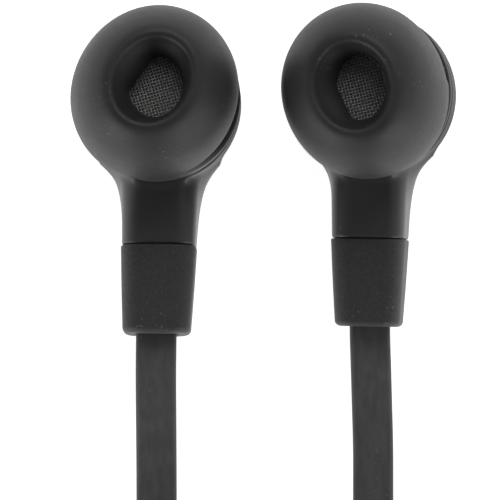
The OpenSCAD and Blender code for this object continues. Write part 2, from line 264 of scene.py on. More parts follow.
Z_LOW, Z_HIGH = 1.55, 4.6
left_wound = wound(14.0, -2.3, 0.0, 1.60, Z_LOW)
right_wound = wound(12.85, -2.3, 0.0, 1.60, Z_LOW)
xs, ys = SPLITTER[0], SPLITTER[1]
left_tail = [[2.05, HANK_Y + 1, 2.32], [2.4, HANK_Y + 4.5, 2.25], [2.85, HANK_Y + 8, 2.12], [xs + 0.55, ys, 2.1], [xs + 0.55, ys + 2.2, 2.1]]
right_tail = [[0.85, HANK_Y + 1, 2.32], [1.15, HANK_Y + 4.5, 2.25], [1.65, HANK_Y + 8, 2.12], [xs - 0.55, ys, 2.1], [xs - 0.55, ys + 2.2, 2.1]]
left_line = np.concatenate([np.array(left_route), rolled(left_wound), rolled(np.array(left_tail))])
right_line = np.concatenate([np.array(right_route), rolled(right_wound), rolled(np.array(right_tail))])
# the trunk leaves the splitter, turns back in the loop's hole as it climbs, and is wound outwards on top
cr = (xs + 9.2) / 2
turn_back = [[xs, ys + SPLIT_LEN - 2.2, 2.1], [xs, ys + SPLIT_LEN, 2.1]]
for k in range(1, 12):
    a = math.pi * k / 12
    turn_back.append([xs - cr + cr * math.cos(a), ys + SPLIT_LEN + 0.3 + cr * math.sin(a), 2.1 + (Z_HIGH - 2.1) * float(smoothstep(0.5, 11.5, k))])
trunk_wound = wound(9.0, 1.075, 0.0, 5.26, Z_HIGH)
trunk_line = np.concatenate([rolled(np.array(turn_back)), rolled(trunk_wound), np.array(trunk_route)])

SECTION = rounded_section(CABLE_W, CABLE_T, 0.38, 6)


def ribbon(name, line4, step=0.55, window=3):
    """A flat cable along a line of [x, y, z, roll]. Returns the object and its ring centres in metres."""
    dense = spline(line4, int(line_length(line4) / step) + 2)
    dense = soften(dense, window)
    pts, roll = dense[:, :3], np.radians(dense[:, 3])
    # the section's lowest point never goes under the floor
    pts[:, 2] = np.maximum(pts[:, 2], 1.12 * np.abs(np.sin(roll)) + 0.12 * np.abs(np.cos(roll)) + 0.38)
    t = np.gradient(pts, axis=0)
    t /= np.linalg.norm(t, axis=1)[:, None]
    n = np.cross(t, [0, 0, 1.0])
    n /= np.linalg.norm(n, axis=1)[:, None]
    u = np.cross(n, t)
    w = n * np.cos(roll)[:, None] + u * np.sin(roll)[:, None]
    b = np.cross(t, w)
    rings = [p + SECTION[:, :1] * ww + SECTION[:, 1:] * bb for p, ww, bb in zip(pts, w, b)]
    v, f = loft(rings)
    return make_mesh(name, v, f), (pts * MM).tolist()


def line_length(line4):
    return float(np.linalg.norm(np.diff(np.asarray(line4)[:, :3], axis=0), axis=1).sum())


left_cable, left_path = ribbon("left_cable", left_line)
right_cable, right_path = ribbon("right_cable", right_line)
trunk_cable, trunk_path = ribbon("trunk_cable", trunk_line)


for ob, exit_mm, path, node, far in (
    (left_cable, left_start, left_path, ("left_lead",), "object"),
    (right_cable, right_start, right_path, ("right_lead",), "object"),
):
    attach(ob, ROOT)
    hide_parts(*node)
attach(trunk_cable, ROOT)
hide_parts("trunk_lead", "cable_hank")


# ------------------------------------------------------------------ smooth solids from distance functions
def net_surface(fn, lo, hi, h):
    """A closed quad mesh of fn(points) = 0 (negative inside), by surface nets, then moved onto the surface."""
    axes = [np.arange(a - 2 * h, b + 3 * h, h) for a, b in zip(lo, hi)]
    nx, ny, nz = (len(a) for a in axes)
    f = np.empty((nx, ny, nz), np.float32)
    yy, zz = np.meshgrid(axes[1], axes[2], indexing="ij")
    flat = np.stack([np.zeros(yy.size), yy.ravel(), zz.ravel()], 1)
    for i in range(0, nx, 16):
        part = axes[0][i : i + 16]
        q = np.tile(flat, (len(part), 1))
        q[:, 0] = np.repeat(part, len(flat))
        f[i : i + 16] = fn(q).reshape(len(part), ny, nz)
    inside = f < 0
    corner = [(a, b, c) for a in (0, 1) for b in (0, 1) for c in (0, 1)]
    count = sum(inside[a : nx - 1 + a, b : ny - 1 + b, c : nz - 1 + c].astype(np.int8) for a, b, c in corner)
    cells = np.argwhere((count > 0) & (count < 8))
    index = np.full((nx - 1, ny - 1, nz - 1), -1, np.int64)
    index[tuple(cells.T)] = np.arange(len(cells))
    total, hits = np.zeros((len(cells), 3)), np.zeros(len(cells))
    for a in range(3):
        e = np.zeros(3, int)
        e[a] = 1
        for b in (0, 1):
            for c in (0, 1):
                o = np.zeros(3, int)
                o[(a + 1) % 3], o[(a + 2) % 3] = b, c
                p, q = cells + o, cells + o + e
                fp, fq = f[tuple(p.T)], f[tuple(q.T)]
                cross = (fp < 0) != (fq < 0)
                t = np.where(cross, fp / np.where(cross, fp - fq, 1), 0)
                total += np.where(cross[:, None], o + t[:, None] * e, 0)
                hits += cross
    verts = (cells + total / hits[:, None]) * h + [a[0] for a in axes]
    faces = []
    for a in range(3):
        e = np.zeros(3, int)
        e[a] = 1
        s0 = inside[: nx - e[0], : ny - e[1], : nz - e[2]]
        s1 = inside[e[0] :, e[1] :, e[2] :]
        at = np.argwhere(s0 != s1)
        at = at[(at[:, (a + 1) % 3] > 0) & (at[:, (a + 2) % 3] > 0)]
        b, c = np.zeros(3, int), np.zeros(3, int)
        b[(a + 1) % 3], c[(a + 2) % 3] = 1, 1
        quad = np.stack([index[tuple((at - d).T)] for d in (np.zeros(3, int), b, b + c, c)], 1)
        flip = s0[tuple(at.T)]
        quad[~flip] = quad[~flip][:, ::-1]
        faces.append(quad)
    faces = np.concatenate(faces)
    faces = faces[(faces >= 0).all(1)]
    d = 0.02
    for _ in range(3):
        g = np.stack([fn(verts + np.eye(3)[k] * d) - fn(verts - np.eye(3)[k] * d) for k in range(3)], 1) / (2 * d)
        n2 = np.maximum((g * g).sum(1), 0.05)
        verts = verts - np.clip(fn(verts) / n2, -0.4 * h, 0.4 * h)[:, None] * g
    return verts, faces


def smin(a, b, k):
    m = np.maximum(k - np.abs(a - b), 0) / k
    return np.minimum(a, b) - m * m * k / 4


def smax(a, b, k):
    return -smin(-a, -b, k)


def box2(x, z, w, d, r):
    qx, qz = np.abs(x) - w / 2 + r, np.abs(z) - d / 2 + r
    return np.hypot(np.maximum(qx, 0), np.maximum(qz, 0)) + np.minimum(np.maximum(qx, qz), 0) - r


def oval2(x, y, r, o=OVAL):
    return np.hypot(x, np.maximum(np.abs(y) - o, 0)) - r


def stem_half(d, z):
    """The stem's half width at a distance d below the housing's centre; its shoulders slope, wide below and narrow at the top."""
    return STEM_W / 2 - 0.05 + 0.024 * (10.74 - d) + 0.71 * np.exp((5.41 - d) / 1.5) * (1 - 2.4 * smoothstep(2.4, 7.0, z))


def rear_shape(p):
    x, y, z = p.T
    rad = np.hypot(x, y)
    dome = np.sqrt(x * x + y * y + (z - DOME_R) ** 2) - DOME_R
    body = smax(rad - BODY_R, dome, 1.7)
    stem = np.maximum(box2(x, z - STEM_Z, 2 * stem_half(np.maximum(-y, 4.35), z), STEM_D, 1.5), y + 4.0)
    d = smin(body, stem, 0.8)
    d = smax(d, z - SPLIT_Z, 0.22)
    d = smax(d, STEM_END - y, 0.2)
    spigot = np.maximum(box2(x, z - STEM_Z, 4.0, 3.4, 1.3), np.maximum(y - STEM_END - 1, STEM_END - 2.4 - y))
    d = np.minimum(d, spigot)
    d = np.maximum(d, -np.maximum(rad - 5.3, 2.0 - z))
    d = np.maximum(d, -np.maximum(rad - 4.42, z - 1.6))
    d = np.maximum(d, -np.maximum(np.hypot(x, y - 2.5) - 0.5, z - 3))
    return np.maximum(d, -np.maximum(box2(x, z - STEM_Z, 3.2, 2.0, 0.8), y + 4))


def front_shape(p, turn):
    x, y, z = p.T
    rad = np.hypot(x, y)
    # a sloping shoulder between the rim's edge and the flat round the nozzle
    d = smax(rad - BODY_R, (z - 7.0) * 0.866 + (rad - BODY_R) * 0.5, 0.3)
    d = smax(d, z - 8.1, 0.6)
    d = smax(d, SPLIT_Z + 0.02 - z, 0.26)
    a = math.radians(-turn)
    xt, yt = x * math.cos(a) - y * math.sin(a), x * math.sin(a) + y * math.cos(a)
    neck = np.maximum(oval2(xt, yt, 2.35), np.maximum(z - 12.4, 7.6 - z))
    d = smin(d, neck, 0.9)
    lip = smax(oval2(xt, yt, 2.54), np.maximum(z - 12.9, 12.1 - z), 0.18)
    d = np.minimum(d, lip)
    inner = np.maximum(rad - 5.3, z - 6.9)
    d = np.maximum(d, -inner)
    d = np.maximum(d, -np.maximum(oval2(xt, yt, 1.95), 6.0 - z))
    return np.maximum(d, -np.maximum(oval2(xt, yt, 2.2), 12.47 - z))


STEP = 0.105
rear_v, rear_f = net_surface(rear_shape, (-6.2, -13.1, 0), (6.2, 6.2, 5.9), STEP)
rear_f = [tuple(f) for f in rear_f.tolist()]


def cap_profile():
    r = np.linspace(0, 4.3, 16)
    dome = DOME_R - np.sqrt(DOME_R**2 - r * r)
    pts = [(a, b) for a, b in zip(r, dome)]
    pts += [(4.36, dome[-1] + 0.04), (4.38, dome[-1] + 0.12), (4.38, 1.54), (4.34, 1.59), (4.2, 1.6), (2.4, 1.6), (0, 1.6)]
    return pts


def lathe(profile, n=128, axis="z"):
    """A closed body of revolution; the profile starts and ends on the axis."""
    prof = np.asarray(profile, float)
    a = np.arange(n) * 2 * math.pi / n
    verts = [(0, 0, prof[0][1])]
    for r, z in prof[1:-1]:
        verts += [(r * math.cos(t), r * math.sin(t), z) for t in a]
    verts.append((0, 0, prof[-1][1]))
    faces = []
    m = len(prof) - 2
    for k in range(n):
        k2 = (k + 1) % n
        faces.append((0, 1 + k2, 1 + k))
        faces.append((len(verts) - 1, 1 + (m - 1) * n + k, 1 + (m - 1) * n + k2))
        for i in range(m - 1):
            b0, b1 = 1 + i * n, 1 + (i + 1) * n
            faces.append((b0 + k, b0 + k2, b1 + k2, b1 + k))
    verts = np.array(verts)
    return verts, outward(verts, faces)


# ------------------------------------------------------------------ ear tips
def tip_profile():
    """Half widths and heights round the tip's wall, from the skirt's edge over the rim and back."""
    r = TIP_R
    outer = [(r - 0.34, 7.74), (r - 0.14, 7.86), (r - 0.04, 8.25), (r, 8.9), (r - 0.03, 9.8), (r - 0.13, 10.7),
             (r - 0.34, 11.8), (r - 0.66, 12.85), (r - 1.08, 13.72), (r - 1.56, 14.44), (r - 2.05, 14.98), (3.58, 15.30), (3.27, 15.48),
             (3.0, 15.53), (2.78, 15.44), (2.63, 15.2), (2.53, 14.85), (2.38, 14.35), (2.15, 13.82), (2.03, 13.45), (2.02, 13.25), (2.07, 13.08),
             (2.25, 13.03), (2.5, 13.02), (2.62, 12.95), (2.64, 12.7)]
    inner = [(2.64, 9.2), (2.66, 8.8), (2.78, 8.64), (2.98, 8.6), (3.16, 8.66), (3.24, 8.9),
             (3.25, 12.9), (3.34, 13.5), (3.55, 13.84), (3.86, 13.72), (4.3, 13.2), (4.75, 12.35), (5.08, 11.4),
             (r - 0.66, 10.4), (r - 0.53, 9.5), (r - 0.5, 8.7), (r - 0.53, 8.1), (r - 0.5, 7.82)]
    return spline(outer + inner, 150, closed=True)


def ear_tip(name, at, dents, seed, drift, hole):
    """drift: how far the soft skirt has shifted sideways. hole: the lower end of the bore, as its middle, its two half widths, and the direction and distance of its flat side."""
    prof = tip_profile()
    n = 192
    th = np.arange(n) * 2 * math.pi / n
    gen = np.random.default_rng(seed)
    waves = [(k, gen.uniform(0, 2 * math.pi), 0.035 / k) for k in (2, 3, 4, 5)]
    rings = []
    for r, z in prof:
        low = float(smoothstep(13.5, 8.0, z)) if r > 3.4 else 0.0
        rr = np.full(n, r)
        turn = math.radians(at[5])
        for k, ph, amp in waves:
            rr = rr + low * amp * np.sin(k * th + ph)
        for a0, a1, a2, a3, depth in dents:
            deg = np.degrees(th + turn) % 360
            deg = np.where(deg > 270, deg - 360, deg)
            rr = rr - low * depth * smoothstep(a0, a1, deg) * (1 - smoothstep(a2, a3, deg))
        c, s = np.cos(th), np.sin(th)
        ring = spin(np.stack([rr * c, (rr + OVAL * 0.98) * s, np.full(n, z)], 1), at[5])
        ring[:, :2] += low * np.array([drift, 0.0])
        if r < 2.7 and z > 12.98:
            # the bore narrows to its lower end, which has one flat side
            (hx, hy), (ha, hb), aim, far = hole
            phi = th + turn
            low_end = np.stack([ha * np.cos(phi), hb * np.sin(phi)], 1)
            way = np.array([math.cos(math.radians(aim)), math.sin(math.radians(aim))])
            over = low_end @ way
            low_end -= (over - smin(over, np.full(n, far), 0.25))[:, None] * way
            low_end = low_end * (r / 2.02 if z < 13.2 else 1.0) + [hx, hy]
            mix = float(smoothstep(15.3, 13.4, z))
            ring[:, :2] = ring[:, :2] * (1 - mix) + low_end * mix
        rings.append(ring)
    v, f = loft(rings, close=True)
    return make_mesh(name, placed(at, v), f)


# ------------------------------------------------------------------ woven mesh in the nozzle
def woven(name, at, lie):
    """Wires over and under each other across the oval outlet, held by a thin rim."""
    semi = (2.16, 2.16 + OVAL)
    pitch, wire, lift = 0.225, 0.050, 0.030
    z0 = 12.62
    verts, faces = [], []
    seg = 6

    def tube(line):
        base = len(verts)
        m = len(line)
        t = np.gradient(line, axis=0)
        t /= np.linalg.norm(t, axis=1)[:, None]
        side = np.cross(t, [0, 0, 1.0])
        side /= np.linalg.norm(side, axis=1)[:, None]
        up = np.cross(side, t)
        for i in range(m):
            for k in range(seg):
                a = 2 * math.pi * k / seg
                verts.append(line[i] + wire * (math.cos(a) * side[i] + math.sin(a) * up[i]))
        for i in range(m - 1):
            for k in range(seg):
                k2 = (k + 1) % seg
                faces.append((base + i * seg + k, base + i * seg + k2, base + (i + 1) * seg + k2, base + (i + 1) * seg + k))
        faces.append(tuple(base + k for k in range(seg))[::-1])
        faces.append(tuple(base + (m - 1) * seg + k for k in range(seg)))

    a = math.radians(lie - at[5])
    ca, sa = math.cos(a), math.sin(a)
    count = int(3.0 / pitch) + 1
    for way in (0, 1):
        for j in range(-count, count + 1):
            off = j * pitch
            t = np.linspace(-3, 3, 241)
            if way == 0:
                x, y = t, np.full_like(t, off)
                wave = np.cos(math.pi * (t / pitch + j))
            else:
                x, y = np.full_like(t, off), t
                wave = -np.cos(math.pi * (t / pitch + j))
            xr, yr = x * ca - y * sa, x * sa + y * ca
            keep = (xr / semi[0]) ** 2 + (yr / semi[1]) ** 2 <= 1
            if keep.sum() < 6:
                continue
            line = np.stack([xr, yr, z0 + lift * wave], 1)[keep]
            n = max(6, int(keep.sum() / 2.5))
            tube(resample(line, n))
    rim = []
    for k in range(8):
        b = 2 * math.pi * k / 8
        dr, dz = 0.06 * math.cos(b), 0.07 * math.sin(b)
        th = np.arange(96) * 2 * math.pi / 96
        rim.append(np.stack([(semi[0] - 0.03 + dr) * np.cos(th), (semi[1] - 0.03 + dr) * np.sin(th), np.full(96, z0 + dz)], 1))
    rv, rf = loft(rim, close=True)
    base = len(verts)
    verts.extend(rv)
    faces.extend(tuple(i + base for i in f) for f in rf)
    v = placed(at, spin(np.array(verts), at[5]))
    return make_mesh(name, v, faces)


# ------------------------------------------------------------------ rubber sleeve on the stem
def sleeve(name, at, bend, slim, tilt):
    """bend: how far the soft sleeve's outside leans sideways at its end. slim: how much narrower it is there."""
    def ring(y, w, d, r):
        s = rounded_section(w, d, r, 14)
        t = float(np.clip((STEM_END - y) / (STEM_END - SLEEVE_END), 0, 1)) if w > 3.5 and w != 4.04 else 0.0
        return np.stack([s[:, 0] * (1 - (1 - slim) * t) + bend * t * t, np.full(len(s), y), STEM_Z + s[:, 1]], 1)

    w0, d0, w1, d1 = STEM_W + 0.06, STEM_D, (STEM_W + 0.05) * 0.905, STEM_D * 0.88
    y0, y1 = STEM_END - 0.03, SLEEVE_END
    rings = [ring(y0 - 2.4, 4.04, 3.44, 1.3), ring(y0 - 0.04, 4.04, 3.44, 1.3), ring(y0, 4.2, 3.6, 1.35)]
    for k in range(5):
        a = math.pi / 2 * k / 4
        e = 0.13
        rings.append(ring(y0 - e + e * math.cos(a), w0 - 2 * e + 2 * e * math.sin(a), d0 - 2 * e + 2 * e * math.sin(a), 1.53))
    for k in range(1, 10):
        t = k / 10
        s = t - 0.06 * math.sin(math.pi * t)
        rings.append(ring(y0 + (y1 + 0.45 - y0) * t, w0 + (w1 - w0) * s, d0 + (d1 - d0) * s, 1.53 - 0.13 * t))
    for k in range(8):
        a = math.pi / 2 * k / 7
        e = 0.42
        rings.append(ring(y1 + e - e * math.sin(a), w1 - 2 * e + 2 * e * math.cos(a), d1 - 2 * e + 2 * e * math.cos(a), 1.4))
    rings.append(ring(y1, 3.4, 1.5, 0.5))
    rings.append(ring(y1 + 0.03, 3.14, 1.16, 0.42))
    rings.append(ring(y1 + 0.15, 3.06, 1.06, 0.4))
    rings.append(ring(y1 + 3.9, 3.06, 1.06, 0.4))
    v, f = loft(rings, close=True)
    return make_mesh(name, placed(at, lean(v, *tilt)), f)


def lean(v, near, far):
    """The stem and its sleeve set a little to one side of the housing's middle: by near at the neck, by far at the sleeve's end."""
    v = np.array(v, float)
    d = -v[:, 1]
    v[:, 0] += smoothstep(3.2, 5.6, d) * np.where(d > 0, near + (far - near) * np.clip((d - 6.0) / 11.0, 0, 1), 0)
    return v


pieces = {}
for side, at, body, dents, lie, seed, drift, hole, (bend, slim), tilt in (
    ("left", LEFT, "left_tip", [], 17.0, 3, -0.10, ((0.19, -0.2), (1.93, 2.25), 145.5, 1.40), (0.0, 1.0), (0.20, 0.03)),
    ("right", RIGHT, "right_tip", [(6, 11, 45, 72, 0.10)], 15.0, 11, 0.12, ((0.40, 0.0), (1.84, 2.36), 206.6, 1.60), (0.0, 0.97), (-0.12, -0.06)),
):
    tip = ear_tip(f"{side}_tip_soft", at, dents, seed, drift, hole)
    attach(tip, body)
    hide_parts(f"{side}_ear_tip")
    rear = make_mesh(f"{side}_rear_shell", placed(at, lean(rear_v, *tilt)), rear_f)
    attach(rear, ROOT)
    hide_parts(f"{side}_rear_housing")
    fv, ff = net_surface(lambda p: front_shape(p, at[5]), (-6.2, -6.2, 5.7), (6.2, 6.2, 13.0), STEP)
    front = make_mesh(f"{side}_front_shell", placed(at, fv), [tuple(f) for f in ff.tolist()])
    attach(front, ROOT)
    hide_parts(f"{side}_front_housing")
    cv, cf = lathe(cap_profile())
    cap = make_mesh(f"{side}_back_cap", placed(at, cv), cf, angle=50)
    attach(cap, ROOT)
    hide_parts(f"{side}_rear_cap")
    net = woven(f"{side}_woven_mesh", at, lie)
    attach(net, ROOT)
    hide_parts(f"{side}_nozzle_mesh")
    sl = sleeve(f"{side}_sleeve", at, bend, slim, tilt)
    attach(sl, ROOT)
    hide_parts(f"{side}_strain_relief")
    pieces[side] = {"tip": tip, "rear": rear, "front": front, "cap": cap, "net": net, "sleeve": sl}


# ------------------------------------------------------------------ splitter, tie and plug
def splitter_half(name, upper):
    """Half of a small pebble-shaped splitter, a groove along its parting plane."""
    x0, y0, z0 = SPLITTER
    length, rings = SPLIT_LEN, []
    n = 40
    for k in range(0, 33):
        t = k / 32
        y = y0 + length * t
        e = 0.66 + 0.34 * float(smoothstep(0, 0.14, t)) * float(1 - 0.35 * smoothstep(0.62, 1.0, t))
        w, d = 4.8 * e, 4.2 * (0.84 + 0.16 * float(smoothstep(0, 0.12, t)) * float(1 - 0.6 * smoothstep(0.7, 1.0, t)))
        a = np.linspace(0, math.pi, n) if upper else np.linspace(math.pi, 2 * math.pi, n)
        c, s = np.cos(a), np.sin(a)
        p = 0.62
        xx = w / 2 * np.sign(c) * np.abs(c) ** p
        zz = d / 2 * np.sign(s) * np.abs(s) ** p
        g = 0.03
        zz = np.maximum(zz, g) if upper else np.minimum(zz, -g)
        rings.append(np.stack([x0 + xx, np.full(n, y), z0 + zz], 1))
    v, f = loft(rings)
    return make_mesh(name, v, f, angle=42)


for name, upper, node in (("splitter_top_half", True, "splitter_upper"), ("splitter_bottom_half", False, "splitter_lower")):
    ob = splitter_half(name, upper)
    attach(ob, ROOT)
    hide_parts(node)
    pieces[name] = ob


def tie_strap():
    """A flat woven strap, once round the hank's waist, its end lying over its start."""
    w, h = 2 * (HANK_R - PINCH + 0.3), HANK_H
    loop = rounded_section(w + TIE_T, h + TIE_T, 1.0, 10)
    line = resample(np.concatenate([loop, loop[:1]]), 160, closed=True)
    t = np.roll(line, -1, 0) - np.roll(line, 1, 0)
    t /= np.linalg.norm(t, axis=1)[:, None]
    nrm = np.stack([t[:, 1], -t[:, 0]], 1)
    sec = rounded_section(TIE_W - 0.04, TIE_T - 0.04, 0.22, 5)
    rings = []
    for i in range(len(line)):
        out = line[i][None] + nrm[i][None] * sec[:, 1:]
        rings.append(np.stack([out[:, 0], HANK_Y + sec[:, 0], TIE_T + HANK_H / 2 + out[:, 1]], 1))
    v, f = loft(rings, close=True)
    # the free end, laid flat on the top run, with a rounded tongue
    top = TIE_T + HANK_H / 2 + (h + 2 * TIE_T) / 2
    end = []
    for x in np.linspace(-4.4, 3.2, 39):
        wide = TIE_W - 0.3
        if x > 2.2:
            wide *= math.sqrt(max(1 - ((x - 2.2) / 1.05) ** 2, 0.02))
        thick = 0.55 * min(1.0, 0.35 + (x + 4.4) / 0.8)
        s2 = rounded_section(wide, thick, min(0.2, thick * 0.45, wide * 0.45), 5)
        end.append(np.stack([np.full(len(s2), x), HANK_Y + s2[:, 0], top + thick / 2 - 0.04 + s2[:, 1]], 1))
    ev, ef = loft(end)
    f = list(f) + [tuple(i + len(v) for i in q) for q in ef]
    return make_mesh("strap", np.concatenate([v, ev]), f)


tie = tie_strap()
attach(tie, ROOT)
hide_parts("cable_tie")


def on_plug(v):
    """Local Z runs from the cable to the jack's point, which is -Y in the row."""
    v = np.asarray(v, float)
    return np.stack([PLUG[0] + v[:, 0], PLUG[1] - v[:, 2], PLUG[2] + v[:, 1]], 1)


HZ, JZ = 8.0, 24.0


def rounded_profile(points, r=0.12, n=4):
    """The profile's corners cut to small arcs; the ends stay."""
    p = np.asarray(points, float)
    out = [p[0]]
    for i in range(1, len(p) - 1):
        a, b, c = p[i - 1], p[i], p[i + 1]
        la, lc = np.linalg.norm(a - b), np.linalg.norm(c - b)
        k = min(r, 0.45 * la, 0.45 * lc)
        s, e = b + (a - b) / la * k, b + (c - b) / lc * k
        for j in range(n + 1):
            t = j / n
            out.append((1 - t) ** 2 * s + 2 * t * (1 - t) * b + t * t * e)
    out.append(p[-1])
    return out


relief = [(0, 0), (1.82, 0), (1.95, 0.25)]
for z in (1.6, 3.4, 5.2):
    r = 1.95 + 0.75 * z / 8
    relief += [(r, z), (1.77, z + 0.05), (1.77, z + 0.55), (r + 0.06, z + 0.6)]
relief += [(2.69, HZ), (0, HZ)]
handle = [(0, HZ), (2.7, HZ), (3.02, HZ + 0.35), (3.28, HZ + 1.1), (3.4, HZ + 2.3), (3.36, HZ + 8), (3.4, JZ - 1.9), (3.3, JZ - 0.75), (2.95, JZ - 0.2), (2.5, JZ), (1.9, JZ), (1.86, JZ - 1), (0, JZ - 1)]
contacts = {
    "plug_sleeve_contact": [(0, JZ - 1.9), (2.08, JZ - 1.9), (2.08, JZ - 1.1), (1.84, JZ - 1.02), (1.84, JZ + 0.02), (1.745, JZ + 0.08), (1.75, JZ + 6.36), (1.7, JZ + 6.4), (0, JZ + 6.4)],
    "plug_ring_contact": [(0, JZ + 7), (1.7, JZ + 7), (1.75, JZ + 7.05), (1.75, JZ + 9.25), (1.7, JZ + 9.3), (0, JZ + 9.3)],
    "plug_tip_contact": [(0, JZ + 9.9), (1.7, JZ + 9.9), (1.75, JZ + 9.96), (1.75, JZ + 10.3), (1.3, JZ + 10.85), (1.25, JZ + 11.1), (1.32, JZ + 11.4), (1.6, JZ + 11.95), (1.64, JZ + 12.2), (1.58, JZ + 12.5), (1.2, JZ + 13.1), (0.62, JZ + 13.75), (0.4, JZ + 13.93), (0, JZ + 14)],
}
for name, prof, node, r in (
    ("plug_relief", relief, "plug_strain_relief", 0.14),
    ("plug_grip", handle, "plug_handle", 0.3),
    ("jack_sleeve", contacts["plug_sleeve_contact"], "plug_sleeve_contact", 0.04),
    ("jack_ring", contacts["plug_ring_contact"], "plug_ring_contact", 0.04),
    ("jack_tip", contacts["plug_tip_contact"], "plug_tip_contact", 0.12),
):
    v, f = lathe(rounded_profile(prof, r), 96)
    ob = make_mesh(name, on_plug(v), f, angle=35)
    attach(ob, ROOT)
    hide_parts(node)
    pieces[name] = ob


# ------------------------------------------------------------------ materials
class Mat:
    """A procedural material on object coordinates; every scale is in mm."""

    def __init__(self, name, **sockets):
        self.mat = bpy.data.materials.new(name)
        self.mat.use_nodes = True
        self.nt = self.mat.node_tree
        self.bsdf = self.nt.nodes["Principled BSDF"]
        self.coord = self.nt.nodes.new("ShaderNodeTexCoord").outputs["Object"]
        self.height = None
        for key, value in sockets.items():
            self.bsdf.inputs[key.replace("_", " ")].default_value = value

    def node(self, kind, **props):
        n = self.nt.nodes.new(kind)
        for k, v in props.items():
            setattr(n, k, v)
        return n

    def link(self, a, b):
        self.nt.links.new(a, b)

    def vector(self, stretch=(1, 1, 1), turn=(0, 0, 0), shift=(0, 0, 0)):
        m = self.node("ShaderNodeMapping")
        m.inputs["Scale"].default_value = stretch
        m.inputs["Rotation"].default_value = turn
        m.inputs["Location"].default_value = shift
        self.link(self.coord, m.inputs["Vector"])
        return m.outputs["Vector"]

    def noise(self, size, detail=2.0, rough=0.5, vec=None, distort=0.0):
        n = self.node("ShaderNodeTexNoise")
        n.inputs["Scale"].default_value = 1000 / size
        n.inputs["Detail"].default_value = detail
        n.inputs["Roughness"].default_value = rough
        n.inputs["Distortion"].default_value = distort
        self.link(vec if vec is not None else self.coord, n.inputs["Vector"])
        return n.outputs["Fac"]

    def wave(self, size, vec=None, direction="X", distort=0.0):
        n = self.node("ShaderNodeTexWave", bands_direction=direction)
        n.inputs["Scale"].default_value = 1000 * 2 * math.pi / 20 / size
        n.inputs["Distortion"].default_value = distort
        self.link(vec if vec is not None else self.coord, n.inputs["Vector"])
        return n.outputs["Fac"]

    def span(self, value, a, b, c, d):
        n = self.node("ShaderNodeMapRange")
        n.inputs["From Min"].default_value, n.inputs["From Max"].default_value = a, b
        n.inputs["To Min"].default_value, n.inputs["To Max"].default_value = c, d
        self.link(value, n.inputs["Value"])
        return n.outputs["Result"]

    def math(self, op, a, b):
        n = self.node("ShaderNodeMath", operation=op)
        for i, v in enumerate((a, b)):
            if isinstance(v, (int, float)):
                n.inputs[i].default_value = v
            else:
                self.link(v, n.inputs[i])
        return n.outputs[0]

    def mix(self, fac, a, b):
        n = self.node("ShaderNodeMix", data_type="RGBA")
        self.link(fac, n.inputs["Factor"])
        for socket, v in (("A", a), ("B", b)):
            s = [i for i in n.inputs if i.name == socket and i.type == "RGBA"][0]
            if isinstance(v, tuple):
                s.default_value = (*v, 1)
            else:
                self.link(v, s)
        return [o for o in n.outputs if o.type == "RGBA"][0]

    def colour(self, out):
        self.link(out, self.bsdf.inputs["Base Color"])

    def rough(self, out):
        self.link(out, self.bsdf.inputs["Roughness"])

    def bump(self, out, height_mm, strength=1.0):
        n = self.node("ShaderNodeBump")
        n.inputs["Strength"].default_value = strength
        n.inputs["Distance"].default_value = height_mm * MM
        self.link(out, n.inputs["Height"])
        if self.height is not None:
            self.link(self.height, n.inputs["Normal"])
        self.height = n.outputs["Normal"]
        self.link(self.height, self.bsdf.inputs["Normal"])


def grey(v, tint=1.0):
    return (v, v, v * tint)


def dusty(m, base_out, size=0.9, keep=0.765, tone=0.10, blur=0.03):
    """A few fine specks of dust, each about a tenth of a millimetre."""
    spots = m.noise(size * 0.22, 0.0, 0.5, m.vector(shift=(0.013, 0.021, 0.007)))
    gate = m.noise(size * 3.1, 0.0, 0.5, m.vector(shift=(0.031, 0.011, 0.017)))
    a = m.span(spots, keep, keep + blur, 0, 1)
    b = m.span(gate, 0.65, 0.69, 0, 1)
    return m.mix(m.math("MULTIPLY", a, b), base_out, grey(tone))


def silicone():
    m = Mat("silicone", Specular_IOR_Level=0.42)
    big, fine = m.noise(4.5, 3, 0.55), m.noise(0.35, 2, 0.5)
    base = m.mix(m.span(big, 0.35, 0.65, 0, 1), grey(0.017), grey(0.025, 1.02))
    m.colour(dusty(m, base))
    m.rough(m.math("ADD", m.span(big, 0.35, 0.65, 0.50, 0.57), m.span(fine, 0.3, 0.7, -0.02, 0.03)))
    m.bump(m.noise(0.09, 1, 0.5), 0.0018)
    m.bump(m.noise(1.6, 2, 0.5), 0.010)
    return m.mat


